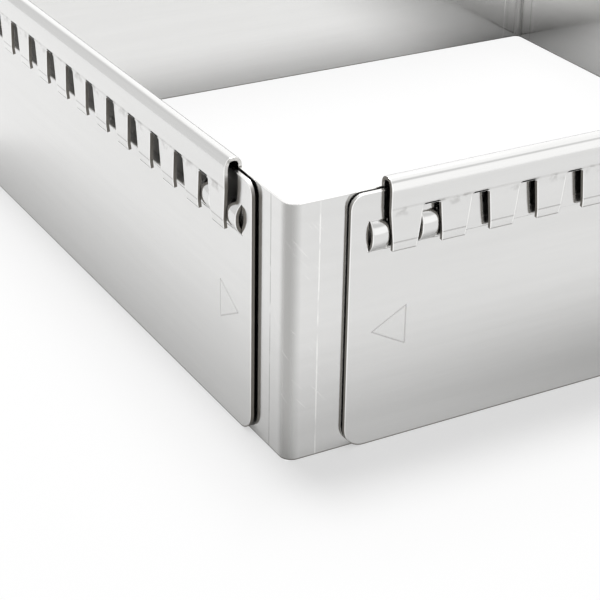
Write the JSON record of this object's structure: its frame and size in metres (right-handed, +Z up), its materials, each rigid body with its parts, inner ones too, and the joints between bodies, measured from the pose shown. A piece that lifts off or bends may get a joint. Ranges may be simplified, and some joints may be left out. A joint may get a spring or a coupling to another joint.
{
  "type": "adjustable pastry frame",
  "caption": "Adjustable pastry frame of folded stainless corner sheets that slide in rolled, notched rails, with pressed bumps that hold each setting.",
  "frame": {"origin": "middle of the frame on the surface that it stands on, at its smallest setting", "axes": "+X along the width, from the left corners to the right ones, +Y along the depth, away from the front corner, +Z up"},
  "size_m": [0.1758, 0.1758, 0.0515],
  "materials": {
    "inner_corner_steel": "bright rolled stainless sheet with a faint grain along it",
    "outer_corner_steel": "bright rolled stainless sheet with a faint grain along it and a small engraved arrow"
  },
  "bodies": {
    "front_inner_corner": {"front_inner_corner": "inner_corner_steel"},
    "right_outer_corner": {"right_outer_corner": "outer_corner_steel"},
    "left_outer_corner": {"left_outer_corner": "outer_corner_steel"},
    "back_inner_corner": {"back_inner_corner": "inner_corner_steel"}
  },
  "joints": [
    {"name": "width_slide", "type": "slide", "parent": "front_inner_corner", "child": "right_outer_corner", "axis": [1, 0, 0], "range_m": [0, 0.13]},
    {"name": "depth_slide", "type": "slide", "parent": "front_inner_corner", "child": "left_outer_corner", "axis": [0, 1, 0], "range_m": [0, 0.13]},
    {"name": "back_depth_slide", "type": "slide", "parent": "right_outer_corner", "child": "back_inner_corner", "axis": [0, 1, 0], "range_m": [0, 0.13]}
  ],
  "couplings": [
    {"joint": "back_depth_slide", "follows": "depth_slide", "ratio": 1}
  ]
}
